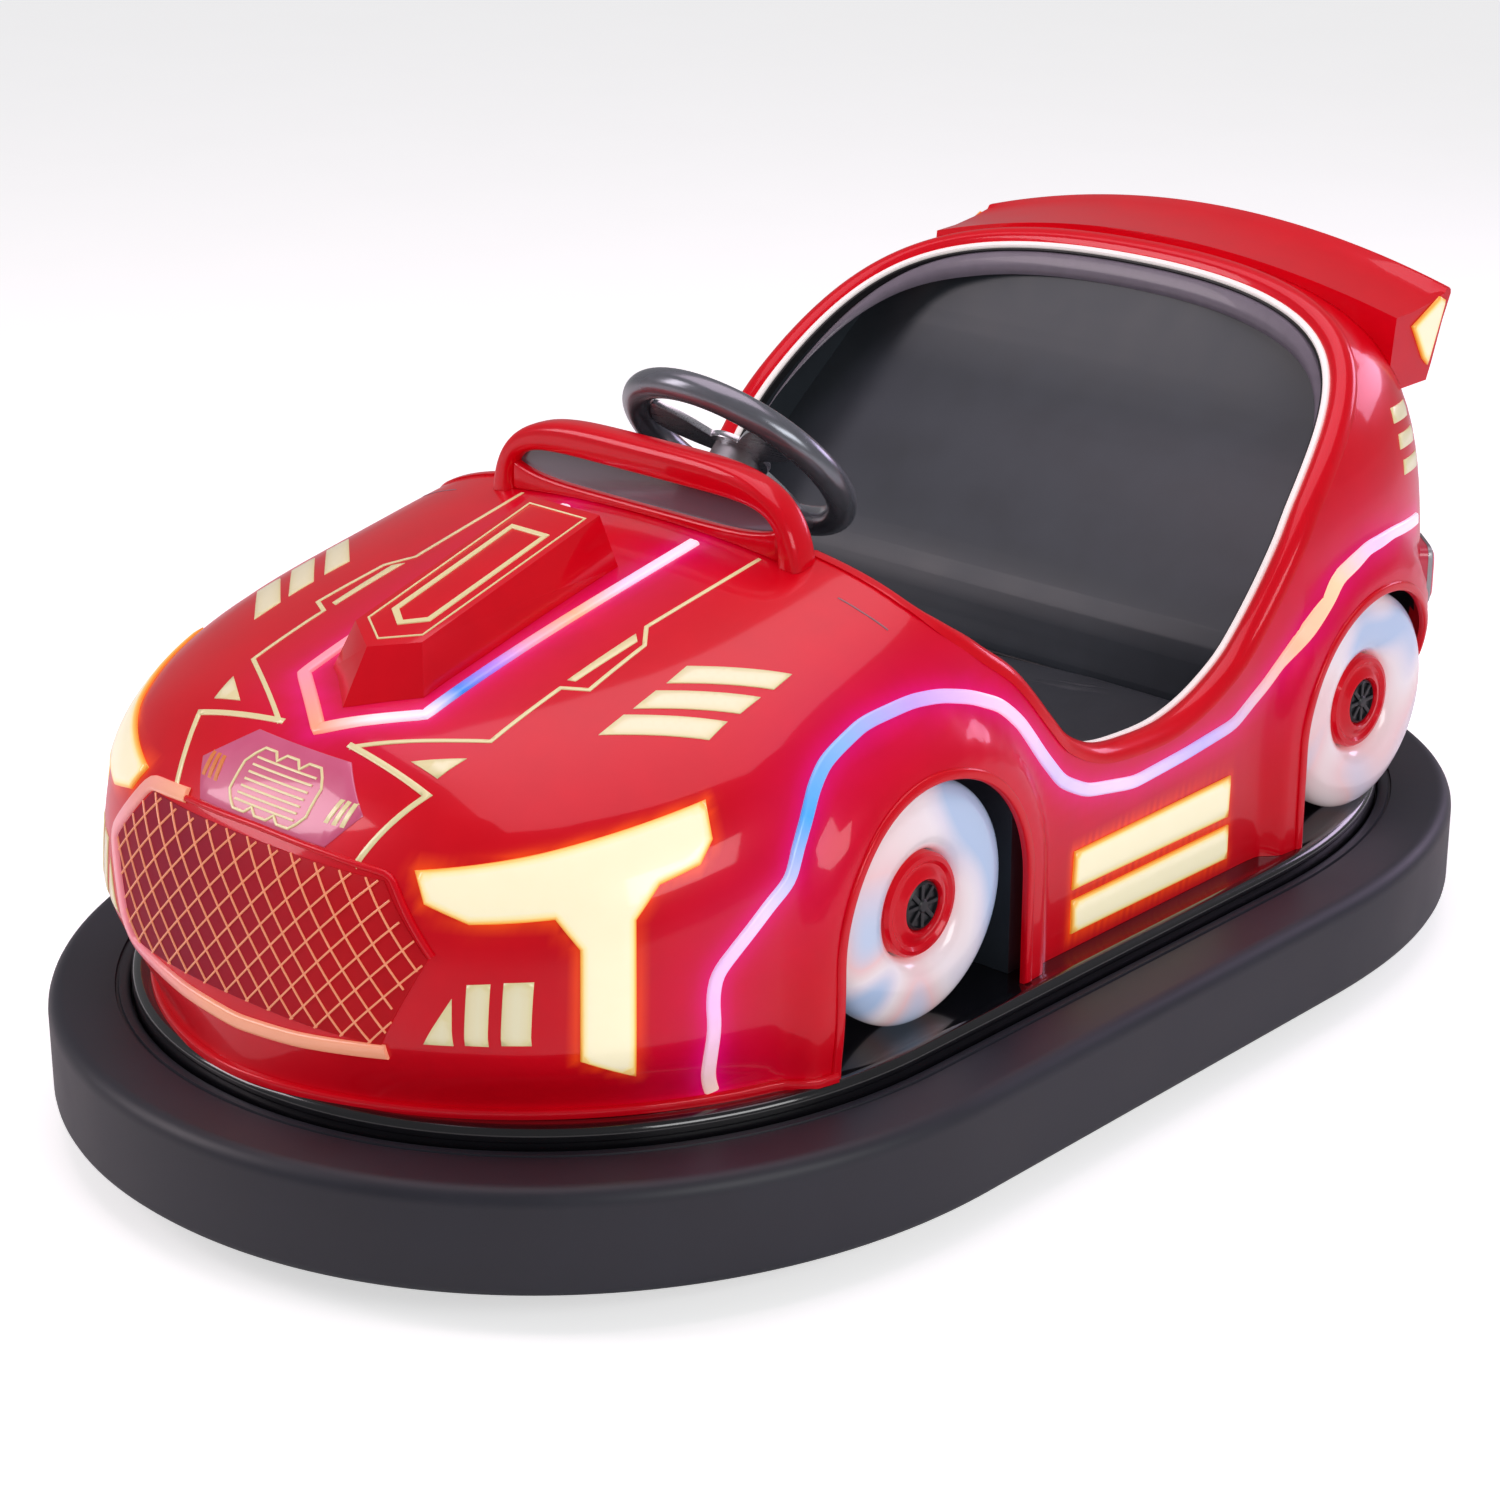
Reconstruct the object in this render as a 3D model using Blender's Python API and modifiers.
"""A two-seat battery bumper car: glass-fibre body on a rubber-ringed steel pan.

Metres, +Z up.  The car faces -Y, its left side is +X, and the floor is z = 0.
The origin is on the floor, under the middle of the rubber ring.
"""
import math

import bmesh
import bpy
import numpy as np
from mathutils import Matrix, Vector

# ---------------------------------------------------------------- driving dimensions
GAP = 0.0003                    # running gap between pieces that rest on each other

RING_LENGTH = 1.95
RING_WIDTH = 1.184
RING_FRONT_AXIS = 0.632         # length of the oval's front end
RING_REAR_AXIS = 0.668
RING_FRONT_POWER = 2.05
RING_REAR_POWER = 2.25
RING_THICK = 0.092              # rubber, measured inwards
RING_BOTTOM = 0.040
RING_TOP = 0.162
RING_ROUND = 0.012

HOOP_THICK = 0.006              # steel band that carries the rubber ring
RAIL = 0.040                    # square tube of the frame
RAIL_X = 0.25
PAN_BOTTOM = 0.150
PAN_TOP = 0.182
PAN_ROUND = 0.008
BASE = PAN_TOP + GAP            # the body's lower edge

SIDE = 0.465                    # half the body's width
NOSE_Y = -0.400                 # the nose and tail ovals begin here
TAIL_Y = 0.400
NOSE_AXIS = 0.475
TAIL_AXIS = 0.458
SHOULDER = 6.0                  # squareness of the wall-to-top shoulder
BODY_WALL = 0.006
CROWN = [(-0.900, 0.482), (-0.820, 0.515), (-0.743, 0.544), (-0.684, 0.558), (-0.500, 0.602),
         (-0.260, 0.652), (-0.200, 0.664), (0.200, 0.730), (0.500, 0.800), (0.660, 0.815), (0.900, 0.815)]
SILL_LINE = [(-0.220, 0.670), (-0.212, 0.615), (-0.174, 0.567), (-0.127, 0.526), (-0.077, 0.463),
             (-0.046, 0.430), (0.010, 0.402), (0.080, 0.392), (0.160, 0.394), (0.240, 0.418),
             (0.310, 0.462), (0.435, 0.600), (0.660, 0.780), (0.900, 0.973)]

ARCH_RADIUS = 0.157
ARCH_Z = 0.310
WELL_INNER = 0.341
FLARE = 0.018
LAMP_RADIUS = 0.139             # the lit side wheels
LAMP_HUB = 0.060
LAMP_Z = 0.3225
LAMP_X = 0.434
ARCHES = {"front": -0.302, "rear": 0.548}

STEER_TILT = math.radians(46.6)     # column from the vertical, leaning to the rear
STEER_CENTRE = Vector((0.0, -0.093, 0.690))
STEER_RADIUS = 0.135                # to the middle of the rim
STEER_TUBE = 0.018
COLUMN_LENGTH = 0.345

DRIVE_Y = -0.560
DRIVE_RADIUS = 0.080
DRIVE_WIDTH = 0.060
PAN_HOLE = 0.190
REAR_AXLE_Y = 0.460
REAR_WHEEL_RADIUS = 0.070
REAR_WHEEL_WIDTH = 0.045
REAR_WHEEL_X = 0.340

SKIN_LOW = GAP                  # lamps and badges lie on the body between these two heights
SKIN_HIGH = 0.0045

# ---------------------------------------------------------------- scene and helpers
for old in list(bpy.data.objects):
    bpy.data.objects.remove(old)

PARTS = bpy.data.collections.new("bumper_car")
CUTTERS = bpy.data.collections.new("cutters")
bpy.context.scene.collection.children.link(PARTS)
bpy.context.scene.collection.children.link(CUTTERS)

RED = ((0.62, 0.01, 0.03), 0.18, 0.0)
RUBBER = ((0.02, 0.021, 0.03), 0.6, 0.0)
BLACK = ((0.01, 0.01, 0.012), 0.2, 0.0)
SLATE = ((0.03, 0.04, 0.045), 0.5, 0.0)
WARM = ((1.0, 0.93, 0.6), 0.3, 0.0)
WHITE = ((0.9, 0.87, 0.95), 0.3, 0.0)
STEEL = ((0.08, 0.08, 0.085), 0.45, 0.6)
SILVER = ((0.75, 0.76, 0.78), 0.2, 1.0)
TYRE = ((0.025, 0.025, 0.025), 0.8, 0.0)
SMOKED = ((0.12, 0.12, 0.14), 0.1, 0.0)
TAIL = ((0.8, 0.1, 0.2), 0.3, 0.0)


def put(name, data, look, cutter=False):
    """Wraps a mesh or curve in an object of that name, in the right collection."""
    made = bpy.data.objects.new(name, data)
    (CUTTERS if cutter else PARTS).objects.link(made)
    if look:
        colour, roughness, metallic = look
        own = bpy.data.materials.new(name)
        own.use_nodes = True
        shader = own.node_tree.nodes["Principled BSDF"]
        shader.inputs["Base Color"].default_value = (*colour, 1.0)
        shader.inputs["Roughness"].default_value = roughness
        shader.inputs["Metallic"].default_value = metallic
        data.materials.append(own)
    if cutter:
        made.hide_render = True
        made.display_type = "WIRE"
    return made


def mesh_from(name, work):
    """Ends a bmesh job: outward normals, then a mesh data block."""
    bmesh.ops.recalc_face_normals(work, faces=work.faces)
    data = bpy.data.meshes.new(name)
    work.to_mesh(data)
    work.free()
    return data


def box(name, size, centre, look=None, cutter=False, turn=None):
    work = bmesh.new()
    bmesh.ops.create_cube(work, size=1.0)
    bmesh.ops.scale(work, vec=size, verts=work.verts)
    if turn:
        bmesh.ops.rotate(work, matrix=turn, verts=work.verts)
    bmesh.ops.translate(work, vec=centre, verts=work.verts)
    return put(name, mesh_from(name, work), look, cutter)


ALONG = {
    "X": Matrix.Rotation(math.radians(90), 3, "Y"),
    "Y": Matrix.Rotation(math.radians(-90), 3, "X"),
    "Z": Matrix.Identity(3),
}


def cylinder(name, radius, length, centre, turn, look=None, cutter=False, sides=32):
    work = bmesh.new()
    bmesh.ops.create_cone(work, cap_ends=True, segments=sides, radius1=radius, radius2=radius,
                          depth=length)
    bmesh.ops.rotate(work, matrix=turn, verts=work.verts)
    bmesh.ops.translate(work, vec=centre, verts=work.verts)
    return put(name, mesh_from(name, work), look, cutter)


def turned(name, profile, centre, turn, look, steps=40, closed=True):
    """Turns a profile of (radius, height) points with a Screw modifier, then places it."""
    area = sum(a[0] * b[1] - b[0] * a[1] for a, b in zip(profile, profile[1:] + profile[:1]))
    if area > 0:
        profile = profile[::-1]
    work = bmesh.new()
    corners = [work.verts.new((radius, 0.0, height)) for radius, height in profile]
    for first, second in zip(corners, corners[1:]):
        work.edges.new((first, second))
    if closed:
        work.edges.new((corners[-1], corners[0]))
    data = bpy.data.meshes.new(name)
    work.to_mesh(data)
    work.free()
    made = put(name, data, look)
    screw = made.modifiers.new("Screw", "SCREW")
    screw.steps = steps
    screw.render_steps = steps
    screw.use_merge_vertices = True
    screw.merge_threshold = 0.00005
    made.matrix_world = Matrix.Translation(centre) @ turn.to_4x4()
    return made


def boolean(target, other, operation):
    cut = target.modifiers.new(operation.title(), "BOOLEAN")
    cut.operation = operation
    cut.object = other
    cut.solver = "EXACT"


def rounded(thing, width, segments=2, angle=40):
    bevel = thing.modifiers.new("Bevel", "BEVEL")
    bevel.width = width
    bevel.segments = segments
    bevel.limit_method = "ANGLE"
    bevel.angle_limit = math.radians(angle)


def frame_of(direction):
    """A turn that takes +Z to a direction, with local +Y kept as high as it can be."""
    z = Vector(direction).normalized()
    up = Vector((0, 0, 1)) if abs(z.z) < 0.9 else Vector((0, 1, 0))
    x = up.cross(z).normalized()
    y = z.cross(x)
    return Matrix((x, y, z)).transposed()


def prism(name, outline, low, high, turn=None, centre=(0, 0, 0), look=None, cutter=True, holes=()):
    """An outline in the local XY plane, drawn out from low to high along local Z."""
    data = bpy.data.curves.new(name, "CURVE")
    data.dimensions = "2D"
    data.fill_mode = "BOTH"
    data.extrude = (high - low) / 2
    for loop in (outline, *holes):
        spline = data.splines.new("POLY")
        spline.points.add(len(loop) - 1)
        for slot, point in zip(spline.points, loop):
            slot.co = (point[0], point[1], 0.0, 1.0)
        spline.use_cyclic_u = True
    shape = bpy.data.objects.new(name, data)
    bpy.context.scene.collection.objects.link(shape)
    bpy.context.view_layer.update()
    solid = bpy.data.meshes.new_from_object(shape.evaluated_get(bpy.context.evaluated_depsgraph_get()))
    bpy.data.objects.remove(shape)
    work = bmesh.new()
    work.from_mesh(solid)
    bmesh.ops.remove_doubles(work, verts=work.verts, dist=0.00002)
    bmesh.ops.translate(work, vec=(0, 0, (low + high) / 2), verts=work.verts)
    bmesh.ops.rotate(work, matrix=turn or Matrix.Identity(3), verts=work.verts)
    bmesh.ops.translate(work, vec=centre, verts=work.verts)
    return put(name, mesh_from(name, work), look, cutter)


SIDE_VIEW = Matrix(((0, 0, 1), (1, 0, 0), (0, 1, 0)))       # outline (y, z), drawn out along +X


def band(points, width):
    """The outline of a strip of even width along a polyline."""
    path = np.array(points, float)
    step = np.diff(path, axis=0)
    step /= np.linalg.norm(step, axis=1)[:, None]
    normal = np.stack([-step[:, 1], step[:, 0]], 1)
    corner = np.vstack([normal[:1], normal[:-1] + normal[1:], normal[-1:]])
    corner /= np.linalg.norm(corner, axis=1)[:, None]
    scale = np.ones(len(path))
    scale[1:-1] = 1 / np.sum(corner[1:-1] * normal[:-1], axis=1)
    shift = corner * (scale * width / 2)[:, None]
    return [tuple(p) for p in path + shift] + [tuple(p) for p in (path - shift)[::-1]]


# ---------------------------------------------------------------- formulas of the body
def smooth(low, high, value):
    share = np.clip((value - low) / (high - low), 0.0, 1.0)
    return share * share * (3 - 2 * share)


def through(points, where):
    """A smooth line through (place, height) points, read at many places."""
    place, height = np.array(points, float).T
    slope = np.gradient(height)
    for i in range(len(place)):
        before, after = max(i - 1, 0), min(i + 1, len(place) - 1)
        slope[i] = (height[after] - height[before]) / (place[after] - place[before])
    where = np.clip(where, place[0], place[-1])
    i = np.clip(np.searchsorted(place, where, side="right") - 1, 0, len(place) - 2)
    span = place[i + 1] - place[i]
    t = (where - place[i]) / span
    return ((2 * t**3 - 3 * t**2 + 1) * height[i] + (t**3 - 2 * t**2 + t) * span * slope[i]
            + (3 * t**2 - 2 * t**3) * height[i + 1] + (t**3 - t**2) * span * slope[i + 1])


def top_height(x, y):
    """Height of the hood and rear deck before the shoulders take over."""
    return through(CROWN, y) - 0.05 * (x / 0.44) ** 2


def half_width(y):
    return SIDE - 0.010 * smooth(-0.28, -0.10, y) + 0.009 * smooth(0.30, 0.42, y)


def outline(station, z):
    """Plan outline of the body at heights z; station -1 is the nose tip, 1 the tail tip,
    the straight side runs from -0.4 to 0.4 and the two ovals beyond it."""
    if abs(station) <= 0.4:
        y = np.full_like(z, NOSE_Y + (TAIL_Y - NOSE_Y) * (station + 0.4) / 0.8)
        return half_width(y), y, y
    angle = math.pi / 2 * (abs(station) - 0.4) / 0.6
    if station < 0:
        power = 2 / (1.8 + 0.85 * smooth(0.185, 0.30, z))
        reach = NOSE_AXIS - 0.08 * np.maximum(z - 0.185, 0)
        return (SIDE * math.cos(angle) ** power, NOSE_Y - reach * math.sin(angle) ** power,
                np.full_like(z, NOSE_Y))
    power = 2 / (2.5 + 1.1 * smooth(0.22, 0.42, z))
    reach = TAIL_AXIS - 0.07 * np.maximum(z - 0.35, 0)
    return (half_width(TAIL_Y) * math.cos(angle) ** power, TAIL_Y + reach * math.sin(angle) ** power,
            np.full_like(z, TAIL_Y))


def flare(y, z):
    """How far the side stands out round the two wheel openings."""
    out = 0.0
    for place in ARCHES.values():
        away = np.hypot(y - place, np.maximum(z - ARCH_Z, 0))
        out = np.maximum(out, FLARE * (1 - smooth(ARCH_RADIUS + 0.035, ARCH_RADIUS + 0.080, away)))
    return out


STATIONS = ([-1 + 0.6 * (i / 8) for i in range(8)] + [-0.4 + 0.8 * (i / 12) for i in range(13)]
            + [0.4 + 0.6 * (i / 7) for i in range(1, 8)])
PROFILE = [math.pi / 2 * i / 11 for i in range(12)]


def body_grid(flared):
    """Rows of points from the base to the middle line, one row a station, left side."""
    rise = np.sin(PROFILE) ** (2 / SHOULDER)
    inward = np.abs(np.cos(PROFILE)) ** (2 / SHOULDER)
    inward[-1] = 0.0
    rows = []
    for station in STATIONS:
        z = BASE + 0.4 * rise
        for _ in range(12):
            side, end, centre = outline(station, z)
            x = side * inward
            y = centre + (end - centre) * inward
            z = BASE + (top_height(x, y) - BASE) * rise
        if abs(station) >= 1.0:
            x = np.zeros_like(z)
        if flared:
            x = x + flare(y, z) * smooth(0.36, 0.44, x)
        rows.append(np.stack([x, y, z], 1))
    return np.array(rows)


GRID = {True: body_grid(True), False: body_grid(False)}


def body_surface(offset=0.0, flared=True):
    """The open outer surface as a welded bmesh, moved along its normals."""
    work = bmesh.new()
    for side in (1, -1):
        rows = [[work.verts.new((side * x, y, z)) for x, y, z in row] for row in GRID[flared]]
        for first, second in zip(rows, rows[1:]):
            for a, b, c, d in zip(first, first[1:], second[1:], second):
                for face in ((a, b, c), (a, c, d)):
                    work.faces.new(face if side > 0 else face[::-1])
    bmesh.ops.remove_doubles(work, verts=work.verts, dist=0.00005)
    bmesh.ops.dissolve_degenerate(work, edges=work.edges, dist=0.00005)
    work.normal_update()
    if sum(face.normal.z for face in work.faces) < 0:
        bmesh.ops.reverse_faces(work, faces=work.faces)
        work.normal_update()
    for vertex, shift in [(v, v.normal * offset) for v in work.verts]:
        flat = abs(vertex.co.z - BASE) < 0.00001
        vertex.co += Vector((shift.x, shift.y, 0)) if flat else shift
    return work


def body_volume(name, offset, low=BASE, look=None, flared=True):
    """The body as a closed solid, grown by offset, its underside at a height."""
    work = body_surface(offset, flared)
    edges = [edge for edge in work.edges if edge.is_boundary]
    if low < BASE:
        grown = bmesh.ops.extrude_edge_only(work, edges=edges)["geom"]
        for vertex in [g for g in grown if isinstance(g, bmesh.types.BMVert)]:
            vertex.co.z = low
    rim = [edge for edge in work.edges if edge.is_boundary]
    bmesh.ops.contextual_create(work, geom=rim)
    return put(name, mesh_from(name, work), look, look is None)


def open_surface(name, offset, thickness, look, cutter=False):
    """The outer surface at an offset, given a thickness: + outwards, - inwards."""
    work = body_surface(offset)
    data = bpy.data.meshes.new(name)
    work.to_mesh(data)
    work.free()
    made = put(name, data, look, cutter)
    wall = made.modifiers.new("Solidify", "SOLIDIFY")
    wall.thickness = abs(thickness)
    wall.offset = 1.0 if thickness > 0 else -1.0
    wall.use_even_offset = True
    return made


def skin_piece(name, cutter, look, low=SKIN_LOW, high=SKIN_HIGH):
    """The part of a thin layer on the body that lies inside a cutter."""
    piece = open_surface(name, low, high - low, look)
    boolean(piece, cutter, "INTERSECT")
    return piece


# ---------------------------------------------------------------- ring, pan and frame
def ring_outline(inset, steps=12):
    """The oval of the rubber ring, moved inwards by inset, as (x, y) points."""
    half = RING_WIDTH / 2 - inset
    ends = ((-1, RING_FRONT_AXIS, RING_FRONT_POWER), (1, RING_REAR_AXIS, RING_REAR_POWER))
    sides = []
    for way, axis, power in ends:
        start = way * (RING_LENGTH / 2 - axis)
        arc = []
        for i in range(steps + 1):
            angle = math.pi / 2 * i / steps
            arc.append((half * max(0.0, math.cos(angle)) ** (2 / power),
                        start + way * (axis - inset) * math.sin(angle) ** (2 / power)))
        sides.append(arc)
    front, rear = sides
    half_loop = rear[::-1] + front
    return half_loop + [(-x, y) for x, y in half_loop[-2:0:-1]]


def ring_half_width(inset, y):
    """Half the ring's inner width at a place along the car."""
    way = -1 if y < 0 else 1
    axis = RING_FRONT_AXIS if way < 0 else RING_REAR_AXIS
    power = RING_FRONT_POWER if way < 0 else RING_REAR_POWER
    share = max(0.0, (abs(y) - (RING_LENGTH / 2 - axis)) / (axis - inset))
    return (RING_WIDTH / 2 - inset) * (1 - share ** power) ** (1 / power)


def circle(radius, x, y, steps=32):
    return [(x + radius * math.cos(2 * math.pi * i / steps),
             y + radius * math.sin(2 * math.pi * i / steps)) for i in range(steps)]


def make_ring():
    ring = prism("bumper_ring", ring_outline(0), RING_BOTTOM, RING_TOP, look=RUBBER, cutter=False,
                 holes=[ring_outline(RING_THICK)])
    rounded(ring, RING_ROUND, 1)


def make_frame():
    """Oval steel band, two long rails and five cross rails, welded into one piece."""
    top = PAN_BOTTOM - GAP
    outer = RING_THICK + GAP
    frame = prism("chassis_frame", ring_outline(outer), RING_BOTTOM + 0.012, top, look=STEEL,
                  cutter=False, holes=[ring_outline(outer + HOOP_THICK)])
    middle = top - RAIL / 2
    for side in (-1, 1):
        rail = box("rail", (RAIL, 1.55, RAIL), (side * RAIL_X, 0.0, middle), cutter=True)
        boolean(frame, rail, "UNION")
    for y in (-0.76, -0.30, 0.04, 0.33, 0.66):
        far = y + math.copysign(RAIL / 2, y)
        reach = ring_half_width(outer + HOOP_THICK / 2, far)
        cross = box("cross_rail", (2 * reach, RAIL, RAIL), (0.0, y, middle), cutter=True)
        boolean(frame, cross, "UNION")


def make_pan():
    pan = prism("deck_pan", ring_outline(RING_THICK + 0.004), PAN_BOTTOM, PAN_TOP, look=BLACK,
                cutter=False, holes=[circle(PAN_HOLE, 0.0, DRIVE_Y)])
    rounded(pan, PAN_ROUND, 1)


# ---------------------------------------------------------------- the red body
def arch_outline(place, radius, floor):
    """Wheel opening seen from the side: a round top on straight legs."""
    arc = [(place + radius * math.cos(math.pi * i / 16), ARCH_Z + radius * math.sin(math.pi * i / 16))
           for i in range(17)]
    return arc + [(place - radius, floor), (place + radius, floor)]


def cockpit_cutter(name, drop=0.0):
    """Everything above the cockpit's edge, as seen from the side."""
    points = [(y, z - drop) for y, z in SILL_LINE]
    return prism(name, points + [(0.900, 1.3), (-0.220, 1.3)], -0.7, 0.7, SIDE_VIEW)


def make_body():
    """A closed body, less a hollow that leaves the walls and a cup round each side wheel."""
    shell = body_volume("body_shell", 0.0, look=RED)
    hollow = body_volume("body_hollow", -BODY_WALL, 0.10)
    wells = []
    for end, place in ARCHES.items():
        for side in (-1, 1):
            low, high = sorted((side * (WELL_INNER - 0.004), side * 0.600))
            cup = prism(f"cup_{end}_{side}", arch_outline(place, ARCH_RADIUS + 0.004, 0.05), low, high,
                        SIDE_VIEW)
            boolean(hollow, cup, "DIFFERENCE")
            low, high = sorted((side * WELL_INNER, side * 0.620))
            wells.append(prism(f"well_{end}_{side}", arch_outline(place, ARCH_RADIUS, 0.07), low, high,
                               SIDE_VIEW))
    boolean(shell, hollow, "DIFFERENCE")
    boolean(shell, cockpit_cutter("cockpit_cutter"), "DIFFERENCE")
    for well in wells:
        boolean(shell, well, "DIFFERENCE")


HEADLIGHT = [(-0.419, 0.451), (-0.410, 0.423), (-0.365, 0.410), (-0.280, 0.419), (-0.256, 0.389),
             (-0.258, 0.269), (-0.202, 0.238), (-0.200, 0.414), (-0.176, 0.444), (-0.135, 0.456),
             (-0.122, 0.476), (-0.128, 0.508)]
GRILLE = [(0.182, 0.438), (0.246, 0.368), (0.199, 0.262), (-0.199, 0.262), (-0.246, 0.368),
          (-0.182, 0.438)]
BADGE = [(0.118, 0.446), (0.124, 0.497), (0.066, 0.518), (-0.066, 0.518), (-0.124, 0.497),
         (-0.118, 0.446)]
SIDE_STRIP = [(-0.592, 0.195), (-0.612, 0.257), (-0.616, 0.316), (-0.604, 0.357), (-0.567, 0.380),
              (-0.514, 0.419), (-0.486, 0.464), (-0.459, 0.496), (-0.410, 0.523), (-0.336, 0.540),
              (-0.286, 0.544), (-0.249, 0.541), (-0.207, 0.530), (-0.162, 0.510), (-0.132, 0.483),
              (-0.095, 0.433), (-0.061, 0.394), (-0.015, 0.370), (0.074, 0.354), (0.171, 0.360),
              (0.270, 0.370), (0.329, 0.402), (0.374, 0.438), (0.419, 0.474), (0.464, 0.507),
              (0.530, 0.527), (0.596, 0.529), (0.680, 0.526)]
HOOD_STRIP = [(0.100, -0.274), (0.093, -0.676), (0.000, -0.742), (-0.093, -0.676), (-0.100, -0.274)]


def make_lamps():
    """Lamps and badges that lie on the body's surface."""
    for name, side in (("left", 1), ("right", -1)):
        turn = frame_of((side * 0.7071, -0.7071, 0))
        outline_2d = [(side * u, z) for u, z in HEADLIGHT]
        cut = prism(f"headlight_cutter_{name}", outline_2d, 0.3, 1.2, turn)
        skin_piece(f"headlight_{name}", cut, WARM)
        low, high = sorted((side * 0.30, side * 0.60))
        cut = prism(f"strip_cutter_{name}", band(SIDE_STRIP, 0.015), low, high, SIDE_VIEW)
        skin_piece(f"side_light_strip_{name}", cut, WHITE)
        plate_2d = [(-0.045, 0.196), (0.278, 0.196), (0.278, 0.314), (-0.045, 0.314)]
        cut = prism(f"sill_cutter_{name}", plate_2d, low, high, SIDE_VIEW)
        skin_piece(f"sill_lamp_{name}", cut, WARM)
    skin_piece("hood_light_strip", prism("hood_strip_cutter", band(HOOD_STRIP, 0.015), 0.45, 0.80), WHITE)
    front_view = frame_of((0, -1, 0))
    skin_piece("grille", prism("grille_cutter", GRILLE, 0.6, 1.2, front_view), WARM, high=0.006)
    skin_piece("nose_badge", prism("badge_cutter", BADGE, 0.6, 1.2, front_view), WHITE)


def make_scoop():
    """Raised pointed block on the hood, its top rising towards the rear."""
    top = [(0.0, -0.671, 0.607), (0.052, -0.640, 0.613), (0.053, -0.376, 0.691),
           (-0.053, -0.376, 0.691), (-0.052, -0.640, 0.613)]
    foot = [(0.0, -0.718), (0.082, -0.668), (0.082, -0.332), (-0.082, -0.332), (-0.082, -0.668)]
    work = bmesh.new()
    upper = [work.verts.new(point) for point in top]
    lower = [work.verts.new((x, y, 0.530)) for x, y in foot]
    for i in range(5):
        n = (i + 1) % 5
        work.faces.new((lower[i], lower[n], upper[n], upper[i]))
    work.faces.new(upper)
    work.faces.new(lower)
    scoop = put("hood_scoop", mesh_from("hood_scoop", work), RED)
    boolean(scoop, body_volume("scoop_seat", GAP, 0.10), "DIFFERENCE")


def make_cowl():
    """Low red arch at the back of the hood, with a smoked insert."""
    front, rear = -0.264, -0.224
    outer = []
    for i in range(15):
        angle = math.pi * i / 14
        c, s = math.cos(angle), max(0.0, math.sin(angle))
        outer.append((0.243 * math.copysign(abs(c) ** 0.45, c), 0.600 + 0.139 * s ** 0.75))
    outer += [(-0.243, 0.560), (0.243, 0.560)]
    inner = [(0.198, 0.652), (0.204, 0.668), (0.190, 0.684), (0.100, 0.701), (0.0, 0.707), (-0.100, 0.701),
             (-0.190, 0.684), (-0.204, 0.668), (-0.198, 0.652), (-0.100, 0.663), (0.0, 0.666), (0.100, 0.663)]
    turn = frame_of((0, 1, 0))
    cowl = prism("cowl", outer, front, rear, turn, look=RED, cutter=False, holes=[inner])
    boolean(cowl, body_volume("cowl_seat", GAP, 0.10), "DIFFERENCE")
    shrink = [(x * 0.998, 0.676 + (z - 0.676) * 0.975) for x, z in inner]
    prism("cowl_screen", shrink, front + 0.014, front + 0.020, turn, look=SMOKED, cutter=False)


# ---------------------------------------------------------------- cockpit
def opening_path(steps=72):
    """The body's cut edge round the cockpit, as points going round from the right rear."""
    path = []
    shoulder = SHOULDER

    def inside(x, y):
        z = float(np.interp(y, *np.array(SILL_LINE).T))
        best = float(top_height(np.array(x), np.array(y)))
        if z >= best:
            return False
        rise = (z - BASE) / (best - BASE)
        if y > TAIL_Y:
            power = 2.5 + 1.1 * float(smooth(0.22, 0.42, z))
            reach = TAIL_AXIS - 0.07 * max(z - 0.35, 0)
            level = ((abs(x) / float(half_width(TAIL_Y))) ** power
                     + ((y - TAIL_Y) / reach) ** power) ** (1 / power)
        else:
            level = abs(x) / float(half_width(y))
        return level ** shoulder + rise ** shoulder < 1

    for i in range(steps):
        angle = 2 * math.pi * i / steps
        dx, dy = math.cos(angle), math.sin(angle)
        low, high = 0.0, 1.2
        for _ in range(40):
            middle = (low + high) / 2
            if inside(middle * dx, 0.20 + middle * dy):
                low = middle
            else:
                high = middle
        y = 0.20 + low * dy
        path.append(Vector((low * dx, y, float(np.interp(y, *np.array(SILL_LINE).T)))))
    return path


def edge_sweep(name, section, look, first, last, steps=72):
    """Sweeps an (inward, upward) section along part of the cockpit's edge."""
    path = opening_path(steps)
    work = bmesh.new()
    rows = []
    for i in range(first, last + 1):
        here = path[i % steps]
        along = (path[(i + 1) % steps] - path[(i - 1) % steps]).normalized()
        y = here.y
        rise = (float(np.interp(y + 0.02, *np.array(SILL_LINE).T))
                - float(np.interp(y - 0.02, *np.array(SILL_LINE).T))) / 0.04
        up = Vector((0, -rise, 1)).normalized()
        inward = up.cross(along).normalized()
        rows.append([work.verts.new(here + inward * a + up * b) for a, b in section])
    for one, two in zip(rows, rows[1:]):
        for k in range(len(section)):
            n = (k + 1) % len(section)
            work.faces.new((one[k], one[n], two[n], two[k]))
    work.faces.new(rows[0])
    work.faces.new(rows[-1][::-1])
    return put(name, mesh_from(name, work), look)


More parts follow.
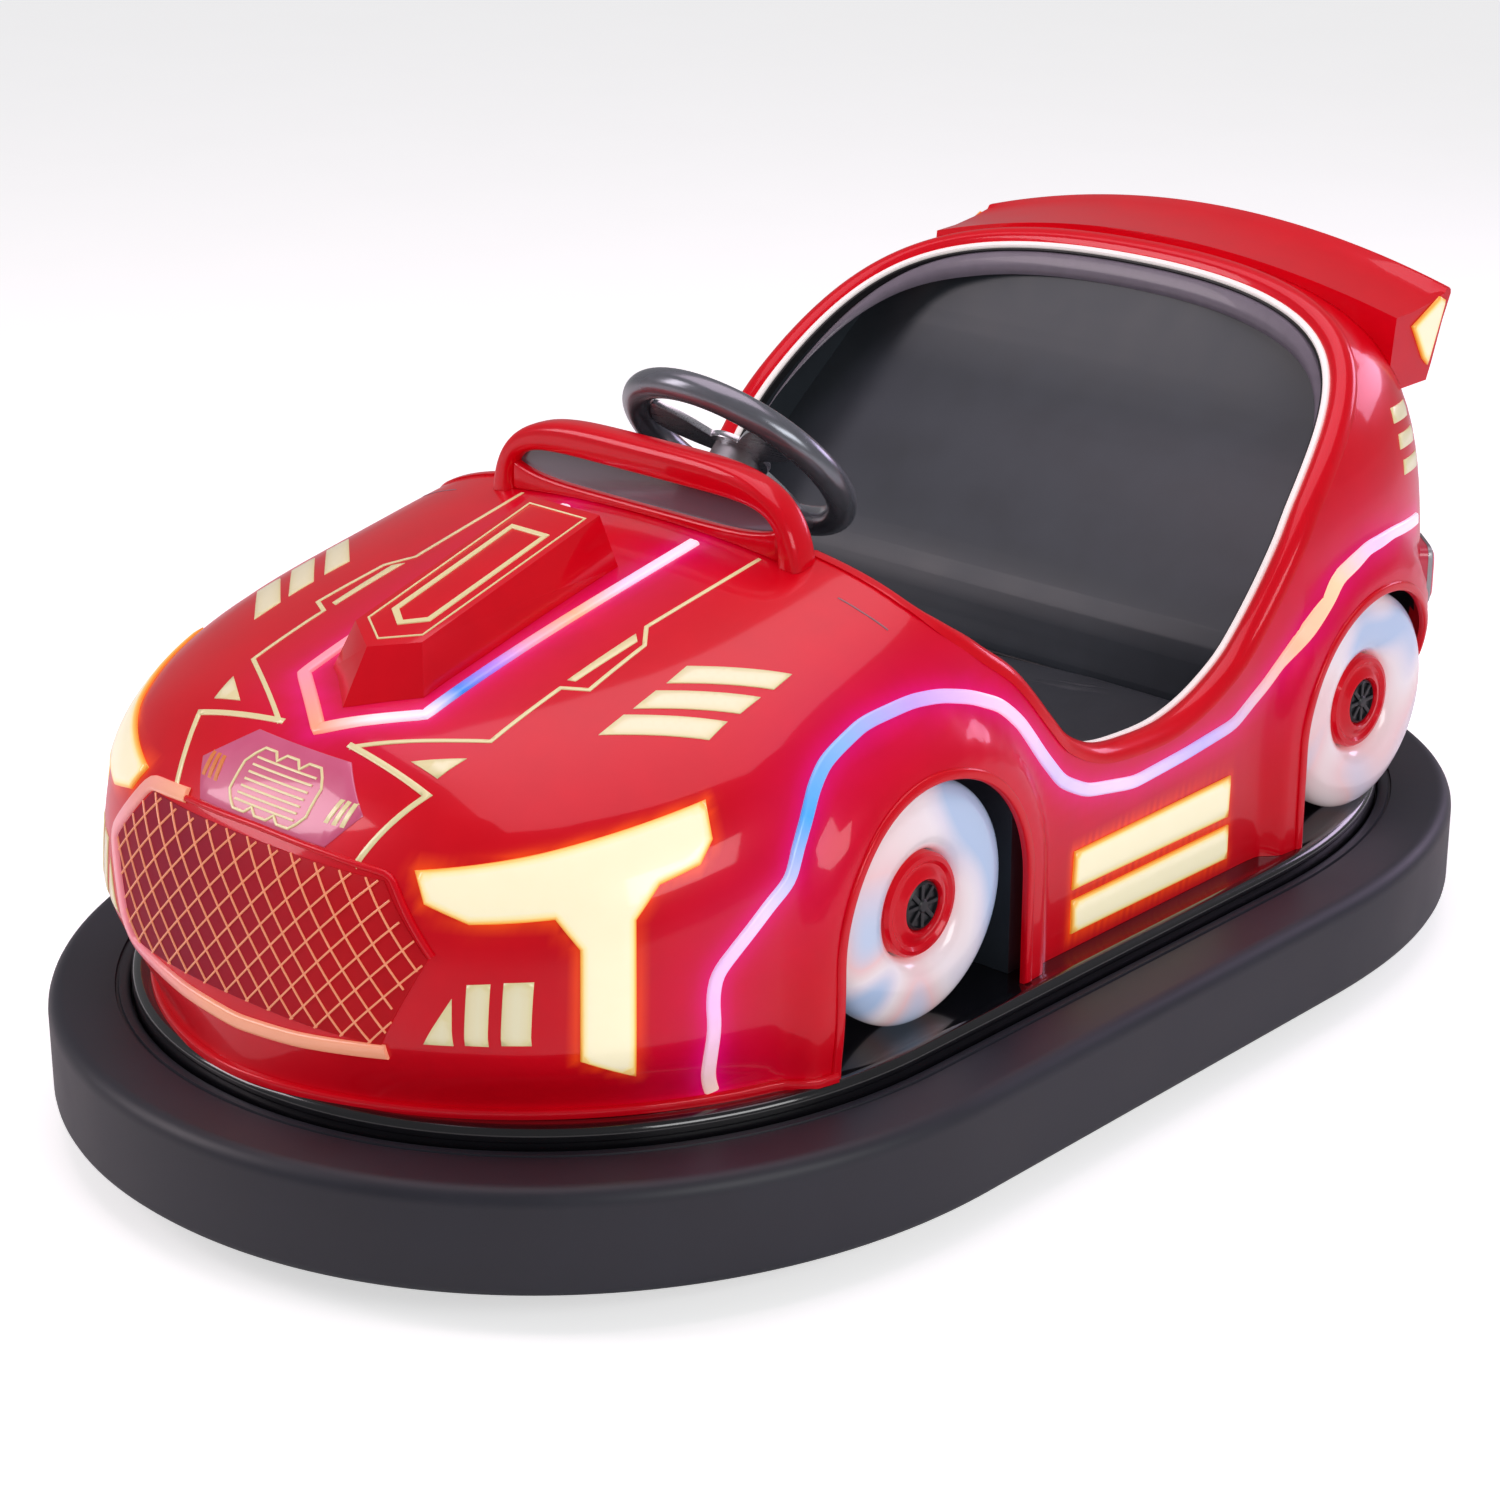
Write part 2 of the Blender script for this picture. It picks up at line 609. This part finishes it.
def make_cockpit():
    floor = BASE
    outer = [(-0.135, floor), (0.105, floor), (0.105, 0.292), (0.375, 0.292), (0.375, 0.340),
             (0.400, 0.420), (0.470, 0.500), (0.585, 0.620), (0.655, 0.765), (0.655, 1.0), (-0.135, 1.0)]
    inner = [(-0.131, 0.1865), (0.101, 0.1865), (0.101, 0.296), (0.371, 0.296), (0.371, 0.341),
             (0.396, 0.422), (0.466, 0.503), (0.581, 0.623), (0.651, 0.767), (0.651, 1.1), (-0.131, 1.1)]
    tub = prism("cockpit_tub", outer, -0.6, 0.6, SIDE_VIEW, look=SLATE, cutter=False)
    boolean(tub, body_volume("tub_outer", -0.012, 0.10, flared=False), "INTERSECT")
    boolean(tub, box("footwell_outer", (0.62, 0.199, 0.20), (0, -0.2305, BASE + 0.10), cutter=True), "UNION")
    hollow = prism("tub_inner", inner, -0.6, 0.6, SIDE_VIEW)
    boolean(hollow, body_volume("tub_inside", -0.016, 0.09, flared=False), "INTERSECT")
    boolean(tub, hollow, "DIFFERENCE")
    foot = box("footwell_inner", (0.612, 0.200, 0.192), (0, -0.226, 0.1865 + 0.096), cutter=True)
    boolean(tub, foot, "DIFFERENCE")
    boolean(tub, cockpit_cutter("tub_top", 0.006), "DIFFERENCE")
    seat = box("seat_cushion", (0.800, 0.250, 0.050), (0, 0.242, 0.2963 + 0.025), SLATE)
    rounded(seat, 0.012)
    rim = edge_sweep("cockpit_rim", [(-0.002, -0.004), (0.028, -0.004), (0.028, 0.008), (0.020, 0.014),
                                     (0.006, 0.014), (-0.002, 0.008)], RED, -12, 48)
    below = [(y, z + GAP) for y, z in SILL_LINE] + [(0.900, 0.0), (-0.400, 0.0), (-0.400, 0.670)]
    boolean(rim, prism("rim_seat", below, -0.7, 0.7, SIDE_VIEW), "DIFFERENCE")
    edge_sweep("cockpit_trim", [(0.0283, 0.0), (0.034, 0.0), (0.034, 0.010), (0.0283, 0.010)], WHITE,
               -5, 41)
    box("battery_pack", (0.480, 0.240, 0.100), (0, 0.240, PAN_TOP + GAP + 0.050), BLACK)
    box("accelerator_pedal", (0.070, 0.012, 0.120), (0.080, -0.270, 0.2418), STEEL,
        turn=Matrix.Rotation(math.radians(-30), 3, "X"))


# ---------------------------------------------------------------- spoiler and tail
def make_tail():
    work = bmesh.new()
    rows = []
    for i in range(13):
        x = -0.368 + 0.736 * i / 12
        share = (x / 0.368) ** 2
        lift = 0.833 - 0.053 * share
        rows.append([work.verts.new(p) for p in (
            (x, 0.700 + 0.012 * share, lift - 0.018),
            (x, 0.832, lift),
            (x, 0.836, lift - 0.010),
            (x, 0.836 - 0.045 * share, 0.668),
            (x, 0.700, 0.668))])
    for one, two in zip(rows, rows[1:]):
        for k in range(5):
            n = (k + 1) % 5
            work.faces.new((one[k], one[n], two[n], two[k]))
    work.faces.new(rows[0])
    work.faces.new(rows[-1])
    spoiler = put("spoiler", mesh_from("spoiler", work), RED)
    boolean(spoiler, body_volume("spoiler_seat", GAP, 0.10), "DIFFERENCE")
    for name, side in (("left", 1), ("right", -1)):
        low, high = sorted((side * (0.368 + GAP), side * 0.373))
        lens = [(0.745, 0.744), (0.808, 0.774), (0.824, 0.768), (0.788, 0.684), (0.775, 0.698)]
        prism(f"spoiler_lamp_{name}", lens, low, high, SIDE_VIEW, look=WARM, cutter=False)
        turn = Matrix.Rotation(math.radians(side * 45), 3, "Z")
        lamp = box(f"tail_lamp_{name}", (0.050, 0.080, 0.080), (side * 0.385, 0.755, 0.430), TAIL, turn=turn)
        boolean(lamp, body_volume(f"tail_seat_{name}", GAP, 0.10), "DIFFERENCE")


# ---------------------------------------------------------------- steering
STEER_TURN = Matrix.Rotation(-STEER_TILT, 3, "X")
STEER_AXIS = STEER_TURN @ Vector((0, 0, 1))


def make_steering():
    start = STEER_CENTRE - STEER_AXIS * 0.030
    end = STEER_CENTRE - STEER_AXIS * COLUMN_LENGTH
    column = cylinder("steering_column", 0.018, (start - end).length, (start + end) / 2, STEER_TURN, STEEL)
    foot = box("column_foot", (0.080, 0.020, end.z + 0.012 - BASE), (0, -0.344, (BASE + end.z + 0.012) / 2),
               cutter=True)
    boolean(column, foot, "UNION")
    round_bar = [2 * math.pi * i / 10 for i in range(10)]
    rim = [(STEER_RADIUS + STEER_TUBE * math.cos(a), STEER_TUBE * math.sin(a)) for a in round_bar]
    turned("steering_rim", rim, STEER_CENTRE, STEER_TURN, SLATE, steps=32)
    hub = cylinder("steering_spokes", 0.030, 0.034, STEER_CENTRE - STEER_AXIS * 0.0125, STEER_TURN, SILVER)
    for angle in (0, 120, 240):
        out = Matrix.Rotation(math.radians(angle + 90), 3, "Z")
        inside = (STEER_RADIUS - STEER_TUBE) * math.cos(math.pi / 32) - GAP
        reach = math.sqrt(inside ** 2 - 0.020 ** 2)
        spoke = box("spoke", (reach, 0.040, 0.008), (0, 0, 0), cutter=True)
        spoke.matrix_world = (Matrix.Translation(STEER_CENTRE) @ STEER_TURN.to_4x4() @ out.to_4x4()
                              @ Matrix.Translation((reach / 2, 0, 0)))
        boolean(hub, spoke, "UNION")


# ---------------------------------------------------------------- lit side wheels
def make_side_wheels():
    for end, place in ARCHES.items():
        for name, side in (("left", 1), ("right", -1)):
            turn = Matrix.Rotation(math.radians(side * 90), 3, "Y")
            centre = Vector((side * LAMP_X, place, LAMP_Z))
            middle, half = (LAMP_RADIUS + LAMP_HUB) / 2, (LAMP_RADIUS - LAMP_HUB) / 2
            ring = [(middle + half * math.copysign(abs(math.cos(a)) ** 0.7, math.cos(a)),
                     0.030 * math.copysign(abs(math.sin(a)) ** 0.8, math.sin(a)))
                    for a in [2 * math.pi * i / 10 for i in range(10)]]
            turned(f"side_wheel_{end}_{name}", ring, centre, turn, WHITE, steps=32)
            back = -(LAMP_X - WELL_INNER - GAP)
            edge = LAMP_HUB - 0.0004
            disc = [(0.0, back), (0.022, back), (0.022, -0.030), (edge, -0.024), (edge, 0.014),
                    (0.048, 0.024), (0.034, 0.026), (0.030, 0.020), (0.0, 0.020)]
            turned(f"side_wheel_hub_{end}_{name}", disc, centre, turn, RED, steps=20, closed=False)


# ---------------------------------------------------------------- running gear
def make_running_gear():
    centre = Vector((0, DRIVE_Y, DRIVE_RADIUS))
    table = cylinder("drive_fork", 0.197, 0.008, (0, DRIVE_Y, PAN_TOP + GAP + 0.004), ALONG["Z"], STEEL, sides=40)
    for side in (-1, 1):
        leg = box("fork_leg", (0.012, 0.056, 0.134), (side * 0.052, DRIVE_Y, 0.119), cutter=True)
        boolean(table, leg, "UNION")
    half = DRIVE_WIDTH / 2
    tyre = [(0.055, -half), (0.074, -half), (DRIVE_RADIUS, -half + 0.008), (DRIVE_RADIUS, half - 0.008),
            (0.074, half), (0.055, half)]
    turned("drive_tyre", tyre, centre, ALONG["X"], TYRE, steps=32)
    hub = [(0.0, -0.0455), (0.022, -0.0455), (0.022, -half + 0.004), (0.0547, -half + 0.004),
           (0.0547, half - 0.004), (0.022, half - 0.004), (0.022, 0.0455), (0.0, 0.0455)]
    turned("drive_motor_hub", hub, centre, ALONG["X"], SILVER, steps=24, closed=False)
    axle = cylinder("rear_axle", 0.012, 0.6344, (0, REAR_AXLE_Y, REAR_WHEEL_RADIUS), ALONG["X"], STEEL, sides=24)
    for side in (-1, 1):
        top = PAN_BOTTOM - GAP - RAIL - GAP
        low = REAR_WHEEL_RADIUS - 0.020
        hanger = box("hanger", (0.012, 0.036, top - low), (side * RAIL_X, REAR_AXLE_Y, (top + low) / 2),
                     cutter=True)
        boolean(axle, hanger, "UNION")
    for name, side in (("left", 1), ("right", -1)):
        wide = REAR_WHEEL_WIDTH / 2
        place = Vector((side * REAR_WHEEL_X, REAR_AXLE_Y, REAR_WHEEL_RADIUS))
        tread = [(0.042, -wide), (0.064, -wide), (0.070, -wide + 0.007), (0.070, wide - 0.007),
                 (0.064, wide), (0.042, wide)]
        turned(f"rear_tyre_{name}", tread, place, ALONG["X"], TYRE, steps=28)
        core = [(0.0, -wide), (0.0417, -wide + 0.003), (0.0417, wide - 0.003), (0.0, wide)]
        turned(f"rear_wheel_{name}", core, place, ALONG["X"], SILVER, steps=24, closed=False)


make_ring()
make_frame()
make_pan()
make_body()
make_lamps()
make_scoop()
make_cowl()
make_cockpit()
make_tail()
make_steering()
make_side_wheels()
make_running_gear()
